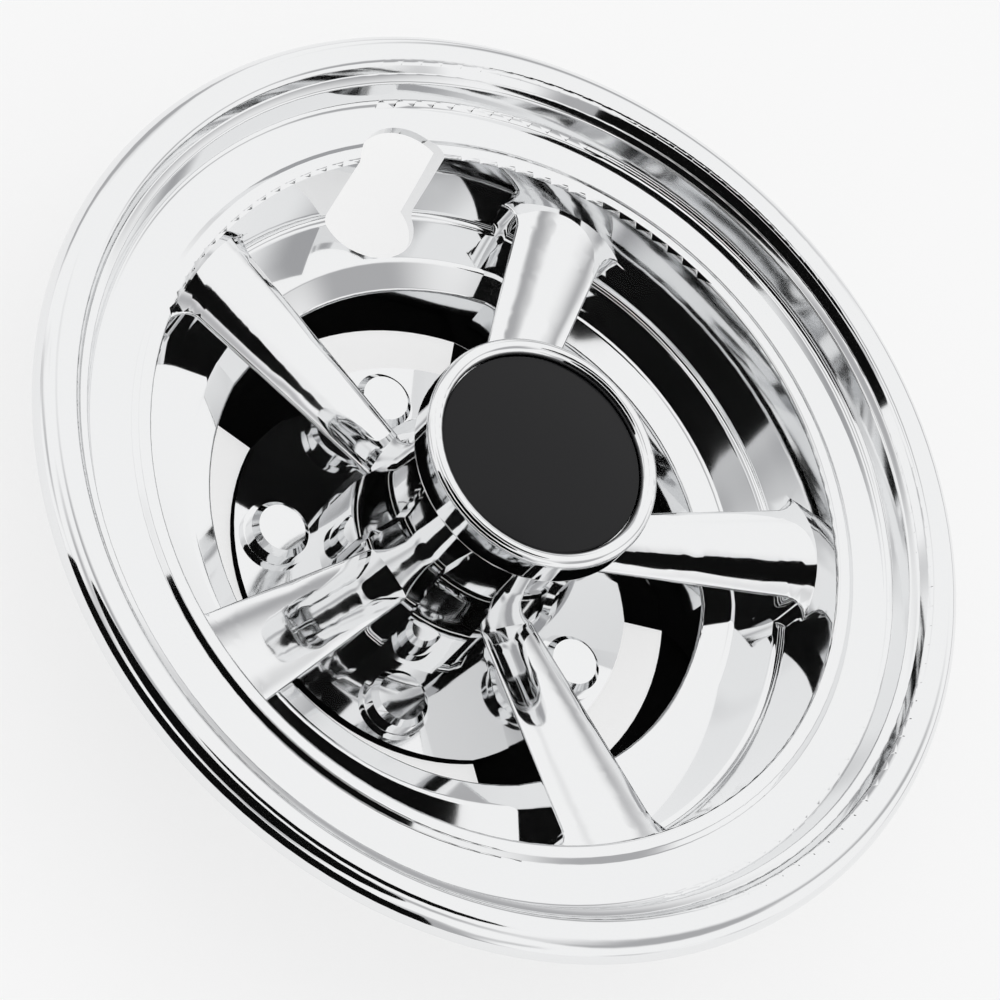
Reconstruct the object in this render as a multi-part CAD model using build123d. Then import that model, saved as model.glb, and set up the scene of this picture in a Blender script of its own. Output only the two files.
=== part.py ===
from build123d import *
import math
import os

# Chrome wheel cover for a golf cart, lying face up on the back of its lug plate.
# Millimetres. Z is the wheel's axis and Z = 0 is the back of the lug plate.

# Moulding as a whole
WALL = 2.8
SPOKES = 5
VALVE_BAY = 90.0            # middle of the bay that the valve hole is in, degrees
OVERLAP = 0.5               # how far joined forms run into each other

# Rim, from the outside in
RIM_R = 120.0
RIM_Z = 50.4                # edge that seats on the wheel's flange
ROLL_W = 9.1                # rounded outer roll
ROLL_H = 5.7
ROLL_FALL = 1.1
ROLL_ROUND = 5.0
STEP_W = 5.9                # step down from the roll to the band
STEP_H = 10.2
LEDGE_W = 2.1               # narrow ledge halfway down that step
LEDGE_DROP = 3.2
LEDGE_FALL = 0.7
LEDGE_IN = 1.6
BAND_W = 10.4               # broad flat band
LIP_W = 4.7                 # raised lip that ends the band
LIP_H = 0.8
LIP_RAMP = 1.4
STEP_ROUND = 2.2            # shoulder and foot of the step
EDGE_ROUND = 1.2
BEAD_ROUND = 0.9

# Dish behind the spokes
DISH_DRAFT = 2.7
DISH_DEPTH = 24.3
DISH_ROUND = 2.0
FLOOR_W = 14.4
FLOOR_RISE = 2.2
NOSE_W = 6.9                # rounded nose between the floor and the throat
NOSE_FALL = 3.2
NOSE_ROUND = 3.0
THROAT_DRAFT = 2.0

# Lug plate and dummy lug nuts
PLATE_T = 2.8
WINDOW_W = 10.9             # open gap between the throat and the plate
NUT_INSET = 10.5            # nut centres from the plate's edge
NUT_H = 4.9
NUT_R = 7.4
NUT_CHAMFER = 1.4
WASHER_R = 8.8
WASHER_H = 1.4

# Hub tower and its ring
FOOT_R = 29.2
SHOULDER_R = 28.4
SHOULDER_Z = 21.8
NECK_R = 24.3
NECK_Z = 35.3
NECK_ROUND = 18.0
HUB_Z = 54.9                # underside of the ring
RING_H = 10.1
RING_W = 4.0
RING_ROUND = 1.9
RECESS = 4.2                # depth of the disc's seat below the ring's crest

# Black centre disc
DISC_R = 25.6
DISC_GAP = 0.2
DISC_EDGE = 2.2
DISC_DOME = 1.6
DISC_ROUND = 0.6

# Spokes: a narrow rib on the hub tower, then a crowned arm that widens to the dish
RIB_H = 2.0
RIB_TOP_W = 8.0
RIB_SWEEP = 95.0            # radius of the rib's hollow flanks
KINK_R = 30.0
KINK_W = 15.0
KINK_Z = 23.3
KINK_CROWN = 1.7
ARM_W = 25.2                # at the dish
ARM_Z = 34.5
ARM_CROWN = 2.8
ARM_ROUND = 0.9
ARM_FLARE = 6.0             # hollow that blends an arm's sides into the dish wall

# Valve hole
VALVE_D = 24.8
VALVE_INSET = 34.2          # its centre from the rim's edge
VALVE_TURN = -3.1           # from the middle of its bay, degrees

# Clip posts on the back and their spring clips
POST_W = 7.0
POST_L = 12.0
POST_H = 20.0
POST_GAP = 1.0              # clear of the back of the dish wall
POST_ROUND = 1.0
CLIP_T = 0.8
CLIP_W = 9.0
CLIP_GRIP = 14.0
CLIP_LEG = 9.0
CLIP_BARB_R = 5.0
CLIP_BARB_Z = 5.5
CLIP_BEND = 1.2

# Corners of the front face in the radial plane
edge_low = (RIM_R, RIM_Z)
edge_top = (RIM_R, RIM_Z + ROLL_H)
step_top = (RIM_R - ROLL_W, edge_top[1] - ROLL_FALL)
step_foot = (step_top[0] - STEP_W, step_top[1] - STEP_H)
lip_foot = (step_foot[0] - BAND_W, step_foot[1])
lip_edge = (lip_foot[0] - LIP_W, lip_foot[1] + LIP_H)
dish_foot = (lip_edge[0] - DISH_DRAFT, lip_edge[1] - DISH_DEPTH)
floor_end = (dish_foot[0] - FLOOR_W, dish_foot[1] + FLOOR_RISE)
nose = (floor_end[0] - NOSE_W, floor_end[1] - NOSE_FALL)
throat = (nose[0] - THROAT_DRAFT, PLATE_T - OVERLAP)
ledge_back = (step_top[0] - LEDGE_IN, step_top[1] - LEDGE_DROP)
ledge_edge = (ledge_back[0] - LEDGE_W, ledge_back[1] - LEDGE_FALL)
lip_crown = (lip_foot[0] - LIP_RAMP, lip_foot[1] + LIP_H)

plate_r = throat[0] - WINDOW_W
nut_circle = plate_r - NUT_INSET
recess_r = DISC_R + DISC_GAP
ring_r = recess_r + RING_W
ring_top = HUB_Z + RING_H
disc_seat = ring_top - RECESS
spoke_angles = [VALVE_BAY + (i + 0.5) * 360 / SPOKES for i in range(SPOKES)]
bay_angles = [VALVE_BAY + i * 360 / SPOKES for i in range(SPOKES)]
post_r = lip_edge[0] + WALL + POST_GAP + POST_W / 2
post_base = step_foot[1] - WALL + OVERLAP
post_tip = post_base - POST_H


def behind(points, gap):
    """Move a line gap to the back, with mitred corners and level ends."""
    normals = []
    for (r0, z0), (r1, z1) in zip(points, points[1:]):
        length = math.hypot(r1 - r0, z1 - z0)
        normals.append(((z0 - z1) / length, (r1 - r0) / length))
    moved = [(points[0][0] + gap / normals[0][0], points[0][1])]
    for (r, z), n0, n1 in zip(points[1:-1], normals, normals[1:]):
        reach = gap / (1 + n0[0] * n1[0] + n0[1] * n1[1])
        moved.append((r + reach * (n0[0] + n1[0]), z + reach * (n0[1] + n1[1])))
    moved.append((points[-1][0] + gap / normals[-1][0], points[-1][1]))
    return moved


def turned(corners):
    """Revolve a closed outline given as (radius, height, corner round)."""
    points = [(r, z) for r, z, _ in corners]
    rounds = [rounding for _, _, rounding in corners]
    outline = FilletPolyline(*points, radius=rounds, close=True)
    return revolve(make_face(Plane.XZ * outline), Axis.Z)


def rim_and_dish():
    """Rolled rim, band, lip, dish and throat as one turned shell."""
    spine = [edge_low, edge_top, step_top, step_foot, lip_edge, dish_foot, floor_end, nose, throat]
    front = [
        (*edge_low, 0),
        (*edge_top, ROLL_ROUND),
        (*step_top, STEP_ROUND),
        (*ledge_back, BEAD_ROUND),
        (*ledge_edge, BEAD_ROUND),
        (*step_foot, STEP_ROUND),
        (*lip_foot, BEAD_ROUND),
        (*lip_crown, BEAD_ROUND),
        (*lip_edge, EDGE_ROUND),
        (*dish_foot, DISH_ROUND),
        (*floor_end, NOSE_ROUND),
        (*nose, EDGE_ROUND),
        (*throat, 0),
    ]
    back = [(r, z, 0) for r, z in reversed(behind(spine, WALL))]
    return turned(front + back)


def hub_and_plate():
    """Lug plate, waisted tower and the ring round the disc's seat, hollow from the back."""
    return turned([
        (plate_r, 0, 0),
        (plate_r, PLATE_T, 0),
        (FOOT_R, PLATE_T, EDGE_ROUND),
        (SHOULDER_R, SHOULDER_Z, NECK_ROUND),
        (NECK_R, NECK_Z, NECK_ROUND),
        (NECK_R, HUB_Z, 0),
        (ring_r, HUB_Z, RING_ROUND),
        (ring_r, ring_top, RING_ROUND),
        (recess_r, ring_top, RING_ROUND),
        (recess_r, disc_seat, 0),
        (0, disc_seat, 0),
        (0, disc_seat - WALL, 0),
        (NECK_R - WALL, disc_seat - WALL, 0),
        (NECK_R - WALL, NECK_Z, NECK_ROUND),
        (SHOULDER_R - WALL, SHOULDER_Z, NECK_ROUND),
        (FOOT_R - WALL, 0, 0),
    ])


def rib():
    """Rib that stands on the tower above the first spoke's kink, on +X."""
    skin = turned([
        (FOOT_R - OVERLAP, PLATE_T, 0),
        (FOOT_R + RIB_H, PLATE_T, 0),
        (SHOULDER_R + RIB_H, SHOULDER_Z, NECK_ROUND),
        (NECK_R + RIB_H, NECK_Z, NECK_ROUND),
        (NECK_R + RIB_H, HUB_Z + OVERLAP, 0),
        (NECK_R - OVERLAP, HUB_Z + OVERLAP, 0),
        (NECK_R - OVERLAP, NECK_Z, NECK_ROUND),
        (SHOULDER_R - OVERLAP, SHOULDER_Z, NECK_ROUND),
    ])
    top = HUB_Z + OVERLAP
    outline = Curve() + [
        Line((-RIB_TOP_W / 2, top), (RIB_TOP_W / 2, top)),
        RadiusArc((RIB_TOP_W / 2, top), (KINK_W / 2, KINK_Z), RIB_SWEEP),
        Line((KINK_W / 2, KINK_Z), (KINK_W / 2, PLATE_T)),
        Line((KINK_W / 2, PLATE_T), (-KINK_W / 2, PLATE_T)),
        Line((-KINK_W / 2, PLATE_T), (-KINK_W / 2, KINK_Z)),
        RadiusArc((-KINK_W / 2, KINK_Z), (-RIB_TOP_W / 2, top), RIB_SWEEP),
    ]
    return skin & extrude(make_face(Plane.YZ * outline), FOOT_R + RIB_H + WALL)


def arm_width(x):
    """Width of an arm at the distance x from the axis."""
    return KINK_W + (ARM_W - KINK_W) * (x - KINK_R) / (dish_foot[0] - KINK_R)


def arm_section(x, inset, low, spread):
    """Crowned section of an arm at the distance x from the axis, spread that many times as wide."""
    share = (x - KINK_R) / (dish_foot[0] - KINK_R)
    half = arm_width(x) / 2
    crown = KINK_CROWN + share * (ARM_CROWN - KINK_CROWN)
    crest = KINK_Z + share * (ARM_Z - KINK_Z) + crown
    bow = (half ** 2 + crown ** 2) / (2 * crown)
    reach = half * spread - inset
    side = crest - bow + math.sqrt(bow ** 2 - reach ** 2)
    outline = Curve() + [
        Line((-reach, low), (reach, low)),
        Line((reach, low), (reach, side - inset)),
        ThreePointArc((reach, side - inset), (0, crest - inset), (-reach, side - inset)),
        Line((-reach, side - inset), (-reach, low)),
    ]
    return make_face(Plane.YZ.offset(x) * outline)


def crowned_bar(start, inset, low, spread):
    """Bar with an arm's crowned back, from the radius start out past the dish wall, on +X."""
    sections = [arm_section(x, inset, low, spread) for x in (start, lip_edge[0] + WALL)]
    return loft(sections, ruled=True)


def arm_plan(start):
    """An arm seen from the front, with hollows where its sides run into the dish wall."""
    end = lip_edge[0] + WALL
    wall_r = dish_foot[0] + DISH_DRAFT * (ARM_Z - dish_foot[1]) / DISH_DEPTH
    bar = Polyline(
        (start, -arm_width(start) / 2),
        (end, -arm_width(end) / 2),
        (end, arm_width(end) / 2),
        (start, arm_width(start) / 2),
        close=True,
    )
    reach = arm_width(end) / 2 + 2 * ARM_FLARE
    wall = (Circle(end) - Circle(wall_r)) & Pos(end, 0) * Rectangle(end, 2 * reach)
    plan = make_face(bar) + wall
    inner = [v for v in plan.vertices() if abs(math.hypot(v.X, v.Y) - wall_r) < 0.001]
    corners = [v for v in inner if abs(v.Y) < reach - ARM_FLARE]
    return fillet(corners, ARM_FLARE)


def arm(start, low):
    """One arm with its edges eased, on +X."""
    bar = crowned_bar(start, 0, low, 1 + 4 * ARM_FLARE / ARM_W)
    blank = bar & extrude(arm_plan(start), ring_top)
    back = blank.faces().filter_by(GeomType.PLANE, reverse=True).sort_by(Axis.Z)[-1]
    sides = [e for e in back.edges() if abs(e.center().Y) > KINK_W / 4]
    return fillet(sides, ARM_ROUND) & inside_dish(WALL / 2, low)


def inside_dish(sink, low):
    """All that lies within the dish, sunk that far into its skin."""
    return turned([
        (0, low, 0),
        (throat[0] + sink, low, 0),
        (nose[0] + sink, nose[1] - sink, 0),
        (floor_end[0], floor_end[1] - sink, 0),
        (dish_foot[0] + sink, dish_foot[1] - sink, 0),
        (lip_edge[0] + sink, lip_edge[1], 0),
        (0, lip_edge[1], 0),
    ])


def channel():
    """Hollow under an arm, open to the back and closed by the dish wall, on +X."""
    low = -WALL
    reach = turned([
        (FOOT_R + OVERLAP, low, 0),
        (dish_foot[0], low, 0),
        (dish_foot[0], dish_foot[1], 0),
        (lip_edge[0], lip_edge[1], 0),
        (FOOT_R + OVERLAP, lip_edge[1], 0),
    ])
    return crowned_bar(NECK_R, WALL, low, 1) & reach


def nut():
    """Dummy lug nut on its washer, standing on the plate."""
    top = PLATE_T + NUT_H
    return turned([
        (0, PLATE_T - OVERLAP, 0),
        (WASHER_R, PLATE_T - OVERLAP, 0),
        (WASHER_R, PLATE_T + WASHER_H, 0),
        (NUT_R, PLATE_T + WASHER_H, 0),
        (NUT_R, top - NUT_CHAMFER, 0),
        (NUT_R - NUT_CHAMFER, top, 0),
        (0, top, 0),
    ])


def clip_post():
    """Moulded post behind the band that carries a spring clip, on +X."""
    height = post_base - post_tip + OVERLAP
    post = Pos(post_r, 0, post_tip + height / 2) * Box(POST_W, POST_L, height)
    return fillet(post.edges().group_by(Axis.Z)[0], POST_ROUND)


def spring_clip():
    """Bent steel strip over a post's tip, with a barb that bites the wheel, on +X."""
    inner = post_r - POST_W / 2 - CLIP_T / 2
    outer = post_r + POST_W / 2 + CLIP_T / 2
    tip = post_tip - CLIP_T / 2
    path = FilletPolyline(
        (inner, tip + CLIP_GRIP),
        (inner, tip),
        (outer, tip),
        (outer, tip + CLIP_LEG),
        (outer + CLIP_BARB_R, tip + CLIP_LEG + CLIP_BARB_Z),
        radius=CLIP_BEND,
    )
    strip = Plane.XZ * trace(path, CLIP_T)
    return extrude(strip, CLIP_W / 2, both=True)


def centre_disc():
    """Domed black disc in the ring's recess."""
    edge = disc_seat + DISC_EDGE
    crown = edge + DISC_DOME
    dome = (DISC_R ** 2 + DISC_DOME ** 2) / (2 * DISC_DOME)
    outline = Curve() + [
        Line((0, crown), (0, disc_seat)),
        Line((0, disc_seat), (DISC_R, disc_seat)),
        Line((DISC_R, disc_seat), (DISC_R, edge)),
        RadiusArc((DISC_R, edge), (0, crown), -dome),
    ]
    face = make_face(Plane.XZ * outline)
    rim = face.vertices().sort_by_distance(Vector(DISC_R, 0, edge))[0]
    return revolve(fillet(rim, DISC_ROUND), Axis.Z)


def wheel_cover():
    """The whole one-piece moulding."""
    low = PLATE_T - OVERLAP
    one_arm = arm(NECK_R, low)
    one_rib = rib()
    body = rim_and_dish() + hub_and_plate()
    body += [Rot(0, 0, a) * one_arm for a in spoke_angles]
    body += [Rot(0, 0, a) * one_rib for a in spoke_angles]
    body -= [Rot(0, 0, a) * channel() for a in spoke_angles]
    body += [Rot(0, 0, a) * Pos(nut_circle, 0, 0) * nut() for a in bay_angles]
    body += [Rot(0, 0, a) * clip_post() for a in spoke_angles]
    hole = extrude(Circle(VALVE_D / 2), ring_top)
    return body - Rot(0, 0, VALVE_BAY + VALVE_TURN) * Pos(RIM_R - VALVE_INSET, 0, 0) * hole


def save(shape, name):
    shape.label = name
    export_step(shape, os.path.join("parts", name + ".step"))


os.makedirs("parts", exist_ok=True)
save(wheel_cover(), "wheel_cover")
save(centre_disc(), "centre_disc")
for number, angle in enumerate(spoke_angles, 1):
    save(Rot(0, 0, angle) * spring_clip(), f"clip_{number}")
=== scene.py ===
import math

import bmesh
import bpy
from mathutils import Matrix, Vector


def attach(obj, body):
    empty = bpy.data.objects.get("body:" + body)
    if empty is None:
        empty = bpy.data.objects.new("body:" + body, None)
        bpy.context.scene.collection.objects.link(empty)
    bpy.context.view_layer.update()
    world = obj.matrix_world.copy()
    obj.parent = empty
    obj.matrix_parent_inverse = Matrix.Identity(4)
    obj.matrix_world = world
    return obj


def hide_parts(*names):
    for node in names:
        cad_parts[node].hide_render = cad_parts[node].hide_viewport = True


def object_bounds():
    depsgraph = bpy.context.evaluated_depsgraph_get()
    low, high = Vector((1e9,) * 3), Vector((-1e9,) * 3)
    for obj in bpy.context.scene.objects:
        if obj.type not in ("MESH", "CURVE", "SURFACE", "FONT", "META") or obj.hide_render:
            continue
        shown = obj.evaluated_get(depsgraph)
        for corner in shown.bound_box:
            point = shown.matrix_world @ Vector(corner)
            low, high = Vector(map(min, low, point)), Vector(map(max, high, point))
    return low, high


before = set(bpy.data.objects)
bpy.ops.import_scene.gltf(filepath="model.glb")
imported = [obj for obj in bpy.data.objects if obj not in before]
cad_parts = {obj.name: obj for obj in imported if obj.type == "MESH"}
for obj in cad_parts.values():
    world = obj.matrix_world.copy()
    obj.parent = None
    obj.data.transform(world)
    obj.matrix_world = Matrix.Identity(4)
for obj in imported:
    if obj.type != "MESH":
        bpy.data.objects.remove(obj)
cad_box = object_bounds()


# The cover itself is one injection moulding of ABS with a bright chrome plate all over.
# The plate is mirror smooth, with the faint ripple that the plastic keeps from its mould.
# Its rim, dish, throat and hub are turned shapes, and five crowned arms cross the dish.
ARM_COUNT = 5
FIRST_ARM = 126
ARM_SPAN = (0.026, 0.082)
ARM_HALF_WIDTH = 0.0135
ARM_LOW = 0.012
LIP_REACH = 0.0895
SKIN_WELD = 2e-6
SKIN_CREASE = math.radians(32)
RING_CREASE = 0.2
RING_CORNERS = 40
RING_DIGITS = 5


def chrome_plate():
    """Mirror chrome with a faint ripple and a slightly uneven polish."""
    material = bpy.data.materials.new("chrome_plate")
    material.use_nodes = True
    nodes = material.node_tree.nodes
    links = material.node_tree.links
    shader = nodes["Principled BSDF"]
    shader.inputs["Base Color"].default_value = (0.86, 0.865, 0.87, 1)
    shader.inputs["Metallic"].default_value = 1.0
    place = nodes.new("ShaderNodeTexCoord")
    haze = nodes.new("ShaderNodeTexNoise")
    haze.inputs["Scale"].default_value = 60
    haze.inputs["Detail"].default_value = 4
    polish = nodes.new("ShaderNodeMapRange")
    polish.inputs["To Min"].default_value = 0.03
    polish.inputs["To Max"].default_value = 0.07
    links.new(place.outputs["Object"], haze.inputs["Vector"])
    links.new(haze.outputs["Fac"], polish.inputs["Value"])
    links.new(polish.outputs["Result"], shader.inputs["Roughness"])
    ripple = nodes.new("ShaderNodeTexNoise")
    ripple.inputs["Scale"].default_value = 45
    ripple.inputs["Detail"].default_value = 1
    bump = nodes.new("ShaderNodeBump")
    bump.inputs["Strength"].default_value = 0.01
    bump.inputs["Distance"].default_value = 0.0003
    links.new(place.outputs["Object"], ripple.inputs["Vector"])
    links.new(ripple.outputs["Fac"], bump.inputs["Height"])
    links.new(bump.outputs["Normal"], shader.inputs["Normal"])
    return material


def on_an_arm(point):
    """Say whether a point of the skin lies on the crowned back of one of the arms."""
    step = 360 / ARM_COUNT
    turn = math.degrees(math.atan2(point.y, point.x)) - FIRST_ARM
    aside = math.radians((turn + step / 2) % step - step / 2)
    reach = math.hypot(point.x, point.y)
    along, across = reach * math.cos(aside), reach * math.sin(aside)
    return ARM_SPAN[0] < along < ARM_SPAN[1] and abs(across) < ARM_HALF_WIDTH and point.z > ARM_LOW


def smooth_skin(node, name):
    """Copy a node's solid as one closed skin whose rounds shade smoothly into the faces beside them."""
    form = bmesh.new()
    form.from_mesh(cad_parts[node].data)
    bmesh.ops.remove_doubles(form, verts=form.verts, dist=SKIN_WELD)
    for face in form.faces:
        face.smooth = True
    for edge in form.edges:
        edge.smooth = len(edge.link_faces) == 2 and edge.calc_face_angle() < SKIN_CREASE
    mesh = bpy.data.meshes.new(name)
    form.to_mesh(mesh)
    form.free()
    piece = bpy.data.objects.new(name, mesh)
    bpy.context.scene.collection.objects.link(piece)
    flats = piece.vertex_groups.new(name="off_the_arms")
    flats.add([v.index for v in mesh.vertices if not on_an_arm(v.co)], 1, "REPLACE")
    even = piece.modifiers.new("even_shading", "WEIGHTED_NORMAL")
    even.keep_sharp = True
    even.weight = 50
    even.vertex_group = flats.name
    return piece


def ring_sides(corners):
    """Part one ring's corners, sorted by slope, where the slope jumps at a crease."""
    sides = [[corners[0]]]
    for corner in corners[1:]:
        if corner[0] - sides[-1][-1][0] > RING_CREASE:
            sides.append([])
        sides[-1].append(corner)
    return sides


def true_rings(piece):
    """Give every turned ring of the skin one slope all the way round, so that it reflects as a clean line."""
    shaded = piece.evaluated_get(bpy.context.evaluated_depsgraph_get()).data
    normals = [corner.vector.copy() for corner in shaded.corner_normals]
    rings = {}
    for loop in piece.data.loops:
        point = piece.data.vertices[loop.vertex_index].co
        normal = normals[loop.index]
        out = Vector((point.x, point.y, 0)).normalized()
        reach = math.hypot(point.x, point.y)
        most_askew = 0.35 if reach > LIP_REACH else 0.08
        if abs(normal.y * out.x - normal.x * out.y) < most_askew:
            ring = (round(reach, RING_DIGITS), round(point.z, RING_DIGITS))
            slope = math.atan2(normal.dot(out), normal.z)
            rings.setdefault(ring, []).append((slope, loop.index, out))
    for corners in rings.values():
        corners.sort(key=lambda corner: corner[:2])
        for side in ring_sides(corners):
            if len(side) > RING_CORNERS:
                slope = side[len(side) // 2][0]
                for _, index, out in side:
                    normals[index] = out * math.sin(slope) + Vector((0, 0, math.cos(slope)))
    piece.modifiers.clear()
    piece.data.normals_split_custom_set(normals)


cover = smooth_skin("wheel_cover", "chrome_cover")
true_rings(cover)
cover.data.materials.append(chrome_plate())
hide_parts("wheel_cover")
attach(cover, "root")


# The centre disc is a flat plastic blank under a poured dome of black resin.
# It lies in the ring's recess, stuck down, with a rounded edge where the resin ends.
def black_resin():
    """Glossy black resin with an uneven polish."""
    material = bpy.data.materials.new("black_resin")
    material.use_nodes = True
    nodes = material.node_tree.nodes
    links = material.node_tree.links
    shader = nodes["Principled BSDF"]
    shader.inputs["Base Color"].default_value = (0.006, 0.006, 0.007, 1)
    shader.inputs["Specular IOR Level"].default_value = 0.25
    place = nodes.new("ShaderNodeTexCoord")
    haze = nodes.new("ShaderNodeTexNoise")
    haze.inputs["Scale"].default_value = 120
    polish = nodes.new("ShaderNodeMapRange")
    polish.inputs["To Min"].default_value = 0.12
    polish.inputs["To Max"].default_value = 0.22
    links.new(place.outputs["Object"], haze.inputs["Vector"])
    links.new(haze.outputs["Fac"], polish.inputs["Value"])
    links.new(polish.outputs["Result"], shader.inputs["Roughness"])
    return material


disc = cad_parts["centre_disc"]
disc.data.materials.clear()
disc.data.materials.append(black_resin())


# Five clips of bent spring-steel strip are pushed onto posts on the back of the moulding.
# Their barbs bite into the wheel's rim, and the strip has a fine rolled grain along it.
def spring_strip():
    """Bare spring steel with a fine rolled grain."""
    material = bpy.data.materials.new("spring_strip")
    material.use_nodes = True
    nodes = material.node_tree.nodes
    links = material.node_tree.links
    shader = nodes["Principled BSDF"]
    shader.inputs["Metallic"].default_value = 1.0
    place = nodes.new("ShaderNodeTexCoord")
    stretch = nodes.new("ShaderNodeMapping")
    stretch.inputs["Scale"].default_value = (900, 900, 60)
    grain = nodes.new("ShaderNodeTexNoise")
    grain.inputs["Scale"].default_value = 1
    grain.inputs["Detail"].default_value = 5
    tone = nodes.new("ShaderNodeValToRGB")
    tone.color_ramp.elements[0].color = (0.30, 0.31, 0.33, 1)
    tone.color_ramp.elements[1].color = (0.55, 0.56, 0.57, 1)
    polish = nodes.new("ShaderNodeMapRange")
    polish.inputs["To Min"].default_value = 0.25
    polish.inputs["To Max"].default_value = 0.45
    links.new(place.outputs["Object"], stretch.inputs["Vector"])
    links.new(stretch.outputs["Vector"], grain.inputs["Vector"])
    links.new(grain.outputs["Fac"], tone.inputs["Fac"])
    links.new(grain.outputs["Fac"], polish.inputs["Value"])
    links.new(tone.outputs["Color"], shader.inputs["Base Color"])
    links.new(polish.outputs["Result"], shader.inputs["Roughness"])
    return material


CLIP_COUNT = 5
steel = spring_strip()
for number in range(1, CLIP_COUNT + 1):
    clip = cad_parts[f"clip_{number}"]
    clip.data.materials.clear()
    clip.data.materials.append(steel)


# The floor is a plain white sheet that the cover lies on, face up.
# It shows white to the camera and in the chrome, and keeps a soft shadow.
FLOOR_SIZE = 8
FLOOR_DROP = 0.001
GLOW_SHARE = 0.7


def white_sheet():
    """White paper that glows a little where it is looked at, so that it stays white under the cover."""
    material = bpy.data.materials.new("white_sheet")
    material.use_nodes = True
    nodes = material.node_tree.nodes
    links = material.node_tree.links
    paper = nodes["Principled BSDF"]
    paper.inputs["Base Color"].default_value = (0.9, 0.9, 0.9, 1)
    paper.inputs["Roughness"].default_value = 0.9
    glow = nodes.new("ShaderNodeEmission")
    glow.inputs["Strength"].default_value = 1.0
    path = nodes.new("ShaderNodeLightPath")
    seen = nodes.new("ShaderNodeMath")
    seen.operation = "MAXIMUM"
    looked_at = nodes.new("ShaderNodeMath")
    looked_at.operation = "MAXIMUM"
    share = nodes.new("ShaderNodeMath")
    share.operation = "MULTIPLY"
    share.inputs[1].default_value = GLOW_SHARE
    mix = nodes.new("ShaderNodeMixShader")
    links.new(path.outputs["Is Camera Ray"], seen.inputs[0])
    links.new(path.outputs["Is Glossy Ray"], seen.inputs[1])
    links.new(seen.outputs["Value"], looked_at.inputs[0])
    links.new(path.outputs["Is Transmission Ray"], looked_at.inputs[1])
    links.new(looked_at.outputs["Value"], share.inputs[0])
    links.new(share.outputs["Value"], mix.inputs["Fac"])
    links.new(paper.outputs["BSDF"], mix.inputs[1])
    links.new(glow.outputs["Emission"], mix.inputs[2])
    links.new(mix.outputs["Shader"], nodes["Material Output"].inputs["Surface"])
    return material


bpy.ops.mesh.primitive_plane_add(size=FLOOR_SIZE)
floor = bpy.context.object
floor.name = "floor"
floor.location = (0, 0, cad_box[0].z - FLOOR_DROP)
floor.data.materials.append(white_sheet())


# The studio is a white tent whose cloth hangs in soft grey folds.
# One panel of it is left plain white, where the flat band of the rim looks.
BAND_LOOKS_AT = (0.5305, 0.2929, 0.7955)


def white_tent():
    """Light from all round, with soft grey folds beside one plain panel."""
    world = bpy.data.worlds.new("studio")
    world.use_nodes = True
    nodes = world.node_tree.nodes
    links = world.node_tree.links
    backdrop = nodes["Background"]
    backdrop.inputs["Strength"].default_value = 1.0
    towards = nodes.new("ShaderNodeTexCoord")
    folds = nodes.new("ShaderNodeTexNoise")
    folds.inputs["Scale"].default_value = 2.2
    folds.inputs["Detail"].default_value = 0.5
    tent = nodes.new("ShaderNodeValToRGB")
    tent.color_ramp.interpolation = "EASE"
    tent.color_ramp.elements[0].position = 0.36
    tent.color_ramp.elements[0].color = (0.45, 0.45, 0.46, 1)
    tent.color_ramp.elements[1].position = 0.54
    tent.color_ramp.elements[1].color = (1, 1, 1, 1)
    panel = nodes.new("ShaderNodeVectorMath")
    panel.operation = "DOT_PRODUCT"
    panel.inputs[1].default_value = BAND_LOOKS_AT
    panel_edge = nodes.new("ShaderNodeMapRange")
    panel_edge.interpolation_type = "SMOOTHSTEP"
    panel_edge.inputs["From Min"].default_value = 0.84
    panel_edge.inputs["From Max"].default_value = 0.95
    lit = nodes.new("ShaderNodeMixRGB")
    lit.inputs["Color2"].default_value = (1, 1, 1, 1)
    links.new(towards.outputs["Generated"], folds.inputs["Vector"])
    links.new(folds.outputs["Fac"], tent.inputs["Fac"])
    links.new(towards.outputs["Generated"], panel.inputs[0])
    links.new(panel.outputs["Value"], panel_edge.inputs["Value"])
    links.new(panel_edge.outputs["Result"], lit.inputs["Fac"])
    links.new(tent.outputs["Color"], lit.inputs["Color1"])
    links.new(lit.outputs["Color"], backdrop.inputs["Color"])
    return world


bpy.context.scene.world = white_tent()


# Black cloth hangs round the cover for the chrome to reflect, and only the chrome sees it.
# Two round screens are overhead and a wall stands behind the camera. A black disc under the hub is painted
# shade for the cover's shadow on the floor, which the glowing floor leaves out of the chrome.
TOWARDS_CAMERA = Matrix.Rotation(math.radians(-151.1), 3, "Z")
SCREEN_SIDES = 64
SHADE_PAD_RADIUS = 0.066
SHADE_PAD_DROP = 0.0005
WALL_AWAY = 1.2
WALL_HALF_WIDTH = 1.2
WALL_HALF_HEIGHT = 0.42
WALL_MIDDLE = 0.44


def black_cloth_and_painted_shade():
    """Black that takes all light: cloth for the screens and wall, painted shade for the disc under the hub.
    """
    material = bpy.data.materials.new("black_cloth_and_painted_shade")
    material.use_nodes = True
    shader = material.node_tree.nodes["Principled BSDF"]
    shader.inputs["Base Color"].default_value = (0.004, 0.004, 0.004, 1)
    shader.inputs["Roughness"].default_value = 1.0
    shader.inputs["Specular IOR Level"].default_value = 0.0
    return material


def hang(form, name, cloth):
    """Put up a sheet of the cloth that shows in reflections and nowhere else."""
    bmesh.ops.rotate(form, cent=(0, 0, 0), matrix=TOWARDS_CAMERA, verts=form.verts)
    mesh = bpy.data.meshes.new(name)
    form.to_mesh(mesh)
    form.free()
    mesh.materials.append(cloth)
    sheet = bpy.data.objects.new(name, mesh)
    bpy.context.scene.collection.objects.link(sheet)
    sheet.visible_camera = False
    sheet.visible_diffuse = False
    sheet.visible_shadow = False


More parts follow.
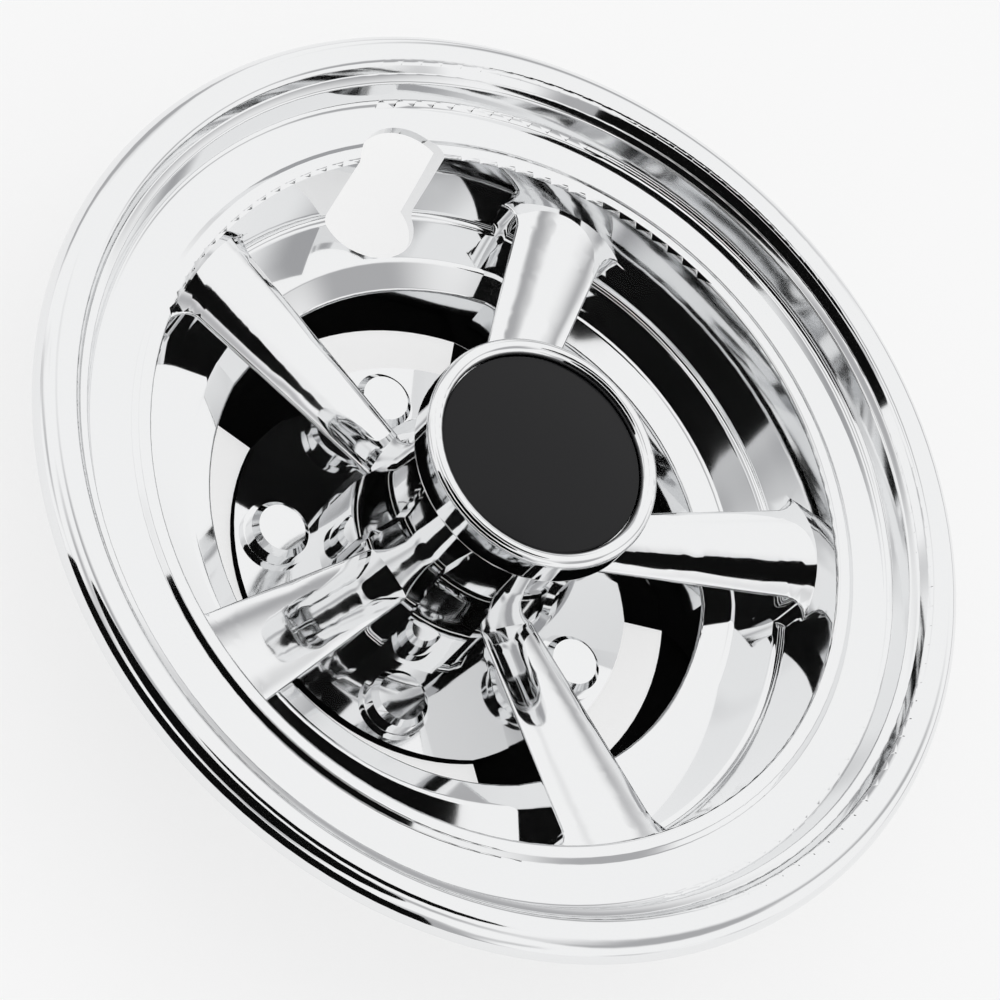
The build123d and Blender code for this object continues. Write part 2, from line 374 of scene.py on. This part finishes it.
def round_sheet(half_deep, half_wide, middle):
    """An oval, level sheet."""
    form = bmesh.new()
    bmesh.ops.create_circle(form, cap_ends=True, radius=1, segments=SCREEN_SIDES)
    bmesh.ops.scale(form, vec=(half_deep, half_wide, 1), verts=form.verts)
    bmesh.ops.translate(form, vec=middle, verts=form.verts)
    return form


def wall_sheet():
    """An upright sheet across the camera's side."""
    form = bmesh.new()
    bmesh.ops.create_grid(form, x_segments=1, y_segments=1, size=1)
    bmesh.ops.scale(form, vec=(WALL_HALF_HEIGHT, WALL_HALF_WIDTH, 1), verts=form.verts)
    upright = Matrix.Rotation(math.radians(90), 3, "Y")
    bmesh.ops.rotate(form, cent=(0, 0, 0), matrix=upright, verts=form.verts)
    bmesh.ops.translate(form, vec=(WALL_AWAY, 0, WALL_MIDDLE), verts=form.verts)
    return form


black = black_cloth_and_painted_shade()
hang(round_sheet(0.26, 0.33, (0.36, 0, 0.6)), "screen_1", black)
hang(round_sheet(0.11, 0.11, (-0.09, 0.09, 0.6)), "screen_2", black)
# Painted shade: this black disc under the hub stands in for the shadow that the cover casts on the floor, and
# only the chrome sees it.
hang(round_sheet(SHADE_PAD_RADIUS, SHADE_PAD_RADIUS, (0, 0, cad_box[0].z - SHADE_PAD_DROP)), "painted_shade_pad", black)
hang(wall_sheet(), "dark_wall", black)


# The camera looks down on the face from the side across from the valve hole.
# It is turned on its own axis, so that the cover stands askew in the picture.
TILT = math.radians(37.29)
ROLL = math.radians(44.38)
TURN = math.radians(-241.1)
AIM_HEIGHT = 0.0518
STAND_OFF = (-0.00503, -0.00612, 0.8)

across = Vector((-math.sin(ROLL), math.cos(ROLL), 0))
axis = Vector((math.sin(TILT) * math.cos(ROLL), math.sin(TILT) * math.sin(ROLL), math.cos(TILT)))
face = Matrix((across, axis.cross(across), axis)).to_4x4()
lens = bpy.data.cameras.new("camera")
lens.lens = 122.42
lens.sensor_width = 36
lens.clip_start = 0.05
camera = bpy.data.objects.new("camera", lens)
bpy.context.scene.collection.objects.link(camera)
camera.matrix_world = (
    Matrix.Translation((0, 0, AIM_HEIGHT))
    @ Matrix.Rotation(TURN, 4, "Z")
    @ face
    @ Matrix.Translation(STAND_OFF)
)
bpy.context.scene.camera = camera
bpy.context.scene.view_settings.view_transform = "Standard"
